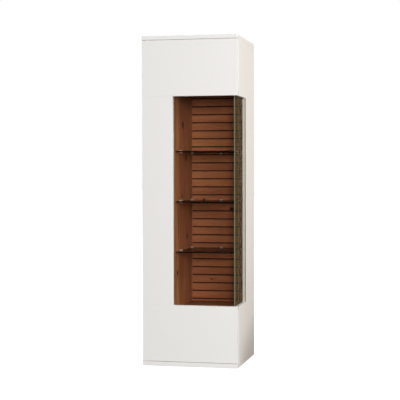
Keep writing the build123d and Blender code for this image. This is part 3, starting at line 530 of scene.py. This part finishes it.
def ripples(seed, along, across, wave_along, wave_across, count=14):
    """Noise between about -1 and 1: the mean of sines with chosen wavelengths along and across the grain."""
    draw = np.random.default_rng(seed)
    total = np.zeros(np.broadcast(along, across).shape)
    for _ in range(count):
        turn_along = 2.0 * math.pi * draw.uniform(-1.0, 1.0) / wave_along
        turn_across = 2.0 * math.pi * draw.uniform(0.5, 1.5) / wave_across
        total = total + np.sin(turn_along * along + turn_across * across + draw.uniform(0.0, 2.0 * math.pi))
    return total / math.sqrt(count / 2.0)


def grain_field(along, across, knots, cracks):
    """(warped distance across, knot, hollow) over a grid.

    Near a knot the distance across is drawn towards the knot's middle by a bell curve, so that the year rings
    open round it. The knot is an ellipse drawn out along the grain. A crack is a bell curve across its wavering
    line, faded at its ends.
    """
    warped = across.copy()
    knot = np.zeros_like(across)
    hollow = np.zeros_like(across)
    for centre_along, centre_across, radius in knots:
        da = along - centre_along
        dc = across - centre_across
        far = (da / (3.2 * radius)) ** 2 + (dc / (1.9 * radius)) ** 2
        warped = warped - 0.9 * dc * np.exp(-far)
        ragged = 1.0 + 0.18 * np.sin(5.0 * np.arctan2(dc, da) + centre_along * 90.0)
        near = np.sqrt((da / (1.5 * radius)) ** 2 + (dc / radius) ** 2) * ragged
        knot = np.maximum(knot, smooth(1.45 - near))
        hollow = np.maximum(hollow, smooth((0.42 - near) * 4.0) * 0.8)
    for centre_along, centre_across, length, slope, width in cracks:
        da = along - centre_along
        line = centre_across + slope * da + 0.0012 * np.sin(da * 130.0 + centre_along * 40.0)
        fade = smooth(2.0 - 2.0 * np.abs(da) / (0.5 * length))
        hollow = np.maximum(hollow, fade * np.exp(-(((across - line) / width) ** 2)))
    return warped, knot, hollow


def closed_shell(name, rings, fields):
    """A mesh from rings of points, each ring closed on itself, with a flat cap on the first and the last.

    `rings` is (rings, points round, 3). Each ring runs anticlockwise about the way from the first ring to the
    last, so that the faces point outwards. `fields` are numbers or vectors at the same points.
    """
    count, round_count = rings.shape[:2]
    number = np.arange(count * round_count).reshape(count, round_count)
    ahead = np.roll(number, -1, axis=1)
    quads = np.stack([number[:-1], ahead[:-1], ahead[1:], number[1:]], -1).reshape(-1, 4)
    caps = [number[0][::-1].tolist(), number[-1].tolist()]
    mesh = bpy.data.meshes.new(name)
    mesh.from_pydata(rings.reshape(-1, 3), [], quads.tolist() + caps)
    for key, values in fields.items():
        kind, member = ("FLOAT_VECTOR", "vector") if values.ndim == 3 else ("FLOAT", "value")
        attribute = mesh.attributes.new(key, kind, "POINT")
        attribute.data.foreach_set(member, values.astype(np.float32).ravel())
    return mesh


def joined(name, meshes):
    """One piece from several meshes that carry the same attributes."""
    objects = [shown(mesh.name, mesh) for mesh in meshes]
    with bpy.context.temp_override(active_object=objects[0], selected_editable_objects=objects):
        bpy.ops.object.join()
    piece = objects[0]
    piece.name = name
    piece.data.name = name
    return piece


def face_relief(full, seed, along, warped, waves, knot, hollow):
    """How deep the face lies below its highest fibres: `full` at streaky noise's peaks, more at knots and cracks."""
    streak = 0.5 + 0.5 * np.clip(ripples(seed, along, warped, *waves), -1.0, 1.0)
    return full * 0.5 * streak + KNOT_DEPTH * 0.5 * knot + CRACK_DEPTH * hollow


def slat_spans():
    """(low, high) of each slat, read from the slats' rear left corners in the frame."""
    low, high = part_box("wood_slats")
    points = np.array([vertex.co for vertex in frame["nodes"]["wood_slats"].data.vertices])
    corner = (np.abs(points[:, 0] - low.x) < SAME_PLACE) & (np.abs(points[:, 1] - high.y) < SAME_PLACE)
    return np.unique(np.round(points[corner, 2], 6)).reshape(-1, 2)


# distance from the slats' left end, slat counted from the lowest, height in the slat from 0 to 1, radius
SLAT_KNOTS = (
    (0.205, 12, 0.2, 0.0085),
    (0.062, 13, 0.42, 0.0042),
    (0.236, 20, 0.6, 0.004),
    (0.262, 8, 0.75, 0.0045),
    (0.1, 3, 0.4, 0.0035),
)
# distance, slat and height as for the knots, then length, slope and width
SLAT_CRACKS = (
    (0.225, 12, 0.34, 0.05, 0.02, 0.0011),
    (0.105, 3, 0.6, 0.06, -0.03, 0.001),
    (0.06, 18, 0.5, 0.045, 0.02, 0.0009),
)
SLAT_ARRIS = 0.8 * MM
SLAT_STEP = 3.0 * MM            # grid step along a slat
SLAT_ROWS = 15                  # rows of the grid over a full slat's face
FULL_SLAT = 0.035               # height of a full slat
SLAT_RELIEF = 0.22 * MM
SLAT_WAVES = (0.16, 0.0065)     # wavelengths of the relief along and across the grain
SLAT_LIFTS = (-0.09, 0.07)      # how much darker or paler than the rest a slat may be
SLAT_WARMTHS = (0.0, 0.4)
PLACE_SEED = 100                # the first seed of the slats' places in the grain
TONE_SEED = 200                 # and of their tones


def slat_mesh(index, low, high):
    """One slat: a section with rounded front edges carried along X, its face lowered by the grain's relief.

    The section runs up the front, back over the top and down behind. The relief is streaky noise, deeper at
    knots and cracks, and fades out at the rounded edges. The rounded edges and the faces behind are painted
    near black as painted shade in the grooves between slats.
    """
    box_low, box_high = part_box("wood_slats")
    tall = high - low
    rows = max(4, int(SLAT_ROWS * tall / FULL_SLAT))
    arris = min(SLAT_ARRIS, tall / 4.0)
    lower = np.stack([arris - arris * np.sin(QUARTER), arris - arris * np.cos(QUARTER)], -1)
    face = np.stack([np.zeros(rows), np.linspace(arris, tall - arris, rows + 2)[1:-1]], -1)
    upper = np.stack([arris - arris * np.cos(QUARTER), tall - arris + arris * np.sin(QUARTER)], -1)
    thick = box_high.y - box_low.y
    back = np.array([[thick, tall], [thick, 0.0]])
    section = np.concatenate([lower, face, upper, back])
    on_face = np.zeros(len(section))
    on_face[len(lower):len(lower) + rows] = 1.0
    around = np.concatenate([[0.0], np.cumsum(np.hypot(*np.diff(section, axis=0).T))])

    count = int(round((box_high.x - box_low.x) / SLAT_STEP)) + 1
    x = np.linspace(box_low.x, box_high.x, count)[:, None] + np.zeros((1, len(section)))
    height = section[None, :, 1] + np.zeros_like(x)
    run = around[None, :] + np.zeros_like(x)
    knots = [(place, rise * tall + arris, radius) for place, slat, rise, radius in SLAT_KNOTS if slat == index]
    cracks = [(place, rise * tall, *shape) for place, slat, rise, *shape in SLAT_CRACKS if slat == index]
    along = x - box_low.x
    warped, knot, hollow = grain_field(along, run, knots, cracks)
    relief = face_relief(SLAT_RELIEF, index, along, warped, SLAT_WAVES, knot, hollow)
    y = box_low.y + section[None, :, 0] + relief * on_face[None, :]
    rings = np.stack([x, y, low + height], -1)
    shift = np.random.default_rng(PLACE_SEED + index).uniform(0.0, 4.0, 2)
    grain = np.stack([along + shift[0], warped + shift[1], np.full_like(x, float(index))], -1)
    # painted shade: the rounded edges and the faces behind each slat go near black through `hollow`, standing in for
    # the shade in the grooves between slats
    groove_shade = (section[:, 0] > 0.05 * arris)[None, :] * 1.0
    draw = np.random.default_rng(TONE_SEED + index)
    fields = {
        "grain": grain,
        "knot": knot * on_face,
        "hollow": np.maximum(hollow * on_face, groove_shade),
        "lift": np.full_like(x, draw.uniform(*SLAT_LIFTS)),
        "warmth": np.full_like(x, draw.uniform(*SLAT_WARMTHS)),
    }
    return closed_shell(f"slat_{index:02d}", rings[::-1], {k: v[::-1] for k, v in fields.items()})


def carve_slats():
    """All the slats of the display's back, as one piece."""
    meshes = [slat_mesh(i, low, high) for i, (low, high) in enumerate(slat_spans())]
    piece = joined("oak_slats", meshes)
    dress(piece, FINISHES["oak_slat"])
    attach(piece, "carcase")
    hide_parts("wood_slats")


# height above the board's foot, distance behind its front edge, radius
PARTITION_KNOTS = (
    (0.875, 0.15, 0.013),
    (0.72, 0.205, 0.011),
    (0.165, 0.05, 0.009),
    (0.33, 0.22, 0.0095),
    (0.53, 0.135, 0.007),
)
# height and distance as for the knots, then length, slope and width
PARTITION_CRACKS = (
    (0.835, 0.155, 0.13, 0.03, 0.0022),
    (0.695, 0.2, 0.09, -0.06, 0.0022),
    (0.15, 0.05, 0.06, 0.7, 0.0024),
    (0.36, 0.212, 0.09, 0.05, 0.0016),
)
VENEER_JOINTS = (0.098, 0.196, 0.262)     # distance of each veneer joint behind the front edge
LIGHT_STREAK = 0.14                       # how much paler the sapwood streak near the front is
STREAK_PLACE = 0.05
STREAK_WIDTH = 0.012
STRIP_LIFTS = np.array((0.05, -0.05, 0.03, 0.0))
STRIP_WARMTHS = np.array((0.0, 0.35, 0.15, 0.2))
BOARD_STEP = 2.8 * MM                     # grid step over the two faces
BOARD_ARRIS = 0.8 * MM
BOARD_RELIEF = 0.2 * MM
BOARD_WAVES = (0.4, 0.009)                # wavelengths of the relief along and across the grain
BOARD_SEED = 7
SIDE_APART = 10.0                         # how far apart the two faces lie in the grain


def carve_partition():
    """The partition: its plan section carried upwards, with grain relief on both faces.

    The section runs round the board from the front edge back along the display side, across the rear and
    forward along the store side. Knots and cracks lie at the same places on both faces.
    """
    low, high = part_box("partition_panel")
    deep = high.y - low.y
    wide = high.x - low.x
    steps = int(round(deep / BOARD_STEP))
    arc = BOARD_ARRIS * np.stack([np.sin(QUARTER), 1.0 - np.cos(QUARTER)], -1)
    straight = np.linspace(BOARD_ARRIS, deep, steps + 1)[1:]
    display = np.concatenate([
        np.stack([wide - BOARD_ARRIS + arc[:, 0], arc[:, 1]], -1),
        np.stack([np.full(steps, wide), straight], -1),
    ])
    coarse = np.linspace(deep, BOARD_ARRIS, steps // 2 + 1)[:-1]
    store = np.concatenate([
        np.stack([np.zeros(len(coarse)), coarse], -1),
        np.stack([BOARD_ARRIS - arc[::-1, 0], arc[::-1, 1]], -1),
    ])
    section = np.concatenate([display, store])
    front = ARC_POINTS + 1      # points at the front edge that stay where they are
    on_display = np.zeros(len(section))
    on_display[front:len(display) - 1] = 1.0
    on_store = np.zeros(len(section))
    on_store[len(display) + 1:len(section) - front] = 1.0

    count = int(round((high.z - low.z) / BOARD_STEP)) + 1
    z = np.linspace(low.z, high.z, count)[:, None] + np.zeros((1, len(section)))
    behind = section[None, :, 1] + np.zeros_like(z)
    along = z - low.z
    warped, knot, hollow = grain_field(along, behind, PARTITION_KNOTS, PARTITION_CRACKS)
    strip = sum((behind > joint).astype(int) for joint in VENEER_JOINTS)
    joint_line = sum(np.exp(-((behind - joint) / (0.6 * BOARD_STEP)) ** 2) for joint in VENEER_JOINTS)
    relief = face_relief(BOARD_RELIEF, BOARD_SEED, along, warped, BOARD_WAVES, knot, hollow)
    inward = relief * (on_store - on_display)[None, :]
    rings = np.stack([low.x + section[None, :, 0] + inward, low.y + behind, z], -1)
    side = SIDE_APART * (section[None, :, 0] < wide / 2.0)
    grain = np.stack([along + 1.7 * strip, warped + 0.37 * strip + side, strip + side], -1)
    on_face = (on_display + on_store)[None, :]
    fields = {
        "grain": grain,
        "knot": knot * on_face,
        "hollow": np.maximum(hollow, 0.35 * joint_line) * on_face,
        "lift": STRIP_LIFTS[strip] + LIGHT_STREAK * np.exp(-((behind - STREAK_PLACE) / STREAK_WIDTH) ** 2),
        "warmth": STRIP_WARMTHS[strip],
    }
    piece = shown("oak_partition", closed_shell("oak_partition", rings, fields))
    dress(piece, PARTITION_OAK)
    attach(piece, "carcase")
    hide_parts("partition_panel")


# ---- latch springs -----------------------------------------------------------------------
WIRE_R = 0.4 * MM
SPRING_TURNS = 7
TURN_STEPS = 28                 # rings to each turn
WIRE_SIDES = 8


def coil_spring(end):
    """One latch's compression spring, built at one fixed length.

    Its wire is a circle carried along a helix round an axis along y. The circle's centre is at
    (x0 + R cos a, y0 + a pitch / 2 pi, z0 + R sin a), and it lies across the helix's way at each angle a.
    """
    node = f"latch_{end}_spring"
    low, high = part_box(node)
    radius = (high.z - low.z) / 2.0 - WIRE_R
    turn = np.linspace(0.0, 2.0 * math.pi * SPRING_TURNS, SPRING_TURNS * TURN_STEPS + 1)
    run = high.y - low.y - 2.0 * WIRE_R
    middle = [(low.x + high.x) / 2.0, low.y + WIRE_R, (low.z + high.z) / 2.0]
    outward = np.stack([np.cos(turn), np.zeros_like(turn), np.sin(turn)], -1)
    centre = middle + radius * outward
    centre[:, 1] += run * turn / turn[-1]
    ahead = np.stack([-radius * np.sin(turn), np.full_like(turn, run / turn[-1]), radius * np.cos(turn)], -1)
    across = np.cross(ahead, outward)
    across /= np.linalg.norm(across, axis=1)[:, None]
    side = np.linspace(0.0, 2.0 * math.pi, WIRE_SIDES, endpoint=False)
    rings = centre[:, None] + WIRE_R * (np.cos(side)[None, :, None] * outward[:, None]
                                        + np.sin(side)[None, :, None] * across[:, None])
    mesh = closed_shell(f"{end}_coil_spring", rings, {})
    piece = shown(f"{end}_coil_spring", mesh)
    mesh.shade_smooth()
    dress(piece, FINISHES["spring_steel"])
    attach(piece, "carcase")
    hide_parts(node)
    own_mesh(piece)


# ---- studio ------------------------------------------------------------------------------
CAMERA_PLACE = (1.2292, -4.7475, -0.5874)
CAMERA_YAW = 0.1807
CAMERA_PITCH = -0.0241
CAMERA_LENS = 87.35
CAMERA_SHIFT = -0.2
SENSOR = 36.0
FAR_CLIP = 200.0
FLOOR_DROP = 0.45               # how far the floor lies below the cabinet
FLOOR_REACH = 60.0
FLOOR_GLOW = 0.8
FLAG_CORNERS = ((0.6, -0.35, -2.0), (0.6, 0.5, -2.0), (0.6, 0.5, -0.9), (0.6, -0.35, -1.2))
FILL_LIGHT = 0.4
CEILING_LEVEL = 0.7             # light values that mirrors see overhead, at the wall and everywhere
WALL_LEVEL = 0.36
BASE_LEVEL = 0.03
SOFTBOX_SIZE = 1.8
LAMPS = (                       # name, place, the point it is aimed at, watts, colour
    ("key", (3.6, -6.0, 0.3), (0.0, -0.3, -0.7), 345.0, (1.0, 1.0, 1.0)),
    ("side", (5.0, -1.0, 1.6), (0.2, -0.2, -0.5), 135.0, (1.0, 0.99, 0.965)),
)


def stage_mesh(name, corners, material):
    """A flat four-sided stage piece."""
    mesh = bpy.data.meshes.new(name)
    mesh.from_pydata(corners, [], [(0, 1, 2, 3)])
    item = shown(name, mesh)
    mesh.materials.append(material)
    return item


def set_floor():
    """A wide pale floor below the cabinet, which glows a little so that it stays white."""
    f = Finish("pale_floor")
    paint = f.principled(base_color=grey(0.9), roughness=0.8, emission_color=grey(1.0),
                         emission_strength=FLOOR_GLOW)
    level = CAD_BOX[0][2] - FLOOR_DROP
    far = FLOOR_REACH
    corners = [(-far, -far, level), (far, -far, level), (far, far, level), (-far, far, level)]
    floor = stage_mesh("studio_floor", corners, f.close(paint))
    floor.visible_glossy = False
    floor.visible_diffuse = False


def set_flag():
    """A dark flag low on the right, which keeps light off the lower rear of the side."""
    f = Finish("flag_cloth")
    cloth = f.close(f.principled(base_color=grey(0.02), roughness=0.9))
    flag = stage_mesh("side_flag", FLAG_CORNERS, cloth)
    flag.visible_camera = False
    flag.visible_glossy = False


def softbox(name, place, aim, watts, colour):
    """A square lamp aimed at a point."""
    lamp = bpy.data.lights.new(name, "AREA")
    lamp.shape = "SQUARE"
    lamp.size = SOFTBOX_SIZE
    lamp.energy = watts
    lamp.color = colour
    item = shown(name, lamp)
    item.location = place
    direction = np.array(aim) - np.array(place)
    item.rotation_euler = (
        math.atan2(math.hypot(direction[0], direction[1]), -direction[2]),
        0.0,
        math.atan2(direction[1], direction[0]) - math.pi / 2.0,
    )


def set_world():
    """A white room that lights from all round.

    Mirrors see it dark in front, dim and warm by the wall, and bright above.
    """
    n = Nodes(bpy.data.worlds.new("white_room"))
    bpy.context.scene.world = n.owner
    _, depth, height = n.parts(n.node("ShaderNodeTexCoord", out="Generated"))
    room = n.node("ShaderNodeBackground", {}, {"Color": grey(1.0)})
    fill = n.node("ShaderNodeBackground", {}, {"Color": (1.0, 0.985, 0.955, 1.0), "Strength": FILL_LIGHT})
    wall = n.step(depth, 0.3, 0.8)
    level = n.step(height, 0.25, 0.75) * CEILING_LEVEL + wall * WALL_LEVEL + BASE_LEVEL
    tint = n.blend(wall, (1.0, 0.97, 0.93, 1.0), (1.0, 0.72, 0.42, 1.0))
    mirrored = n.node("ShaderNodeBackground", {}, {"Color": tint, "Strength": level})
    light = n.mix(n.node("ShaderNodeLightPath", out="Is Glossy Ray"), fill, mirrored)
    seen = n.mix(n.node("ShaderNodeLightPath", out="Is Camera Ray"), light, room)
    n.close(seen, "ShaderNodeOutputWorld")


def set_camera():
    """The camera stands a little to the right of the cabinet's front and nearly level with its middle."""
    lens = bpy.data.cameras.new("camera")
    lens.sensor_width = SENSOR
    lens.lens = CAMERA_LENS
    lens.shift_x = CAMERA_SHIFT
    lens.clip_end = FAR_CLIP
    camera = shown("camera", lens)
    camera.location = CAMERA_PLACE
    camera.rotation_euler = (math.pi / 2.0 + CAMERA_PITCH, 0.0, CAMERA_YAW)
    bpy.context.scene.camera = camera


set_camera()
dress_frame()
carve_slats()
for latch in ("upper", "lower"):
    coil_spring(latch)
carve_partition()
set_floor()
set_flag()
set_world()
for lamp_settings in LAMPS:
    softbox(*lamp_settings)
bpy.context.scene.view_settings.view_transform = "Standard"
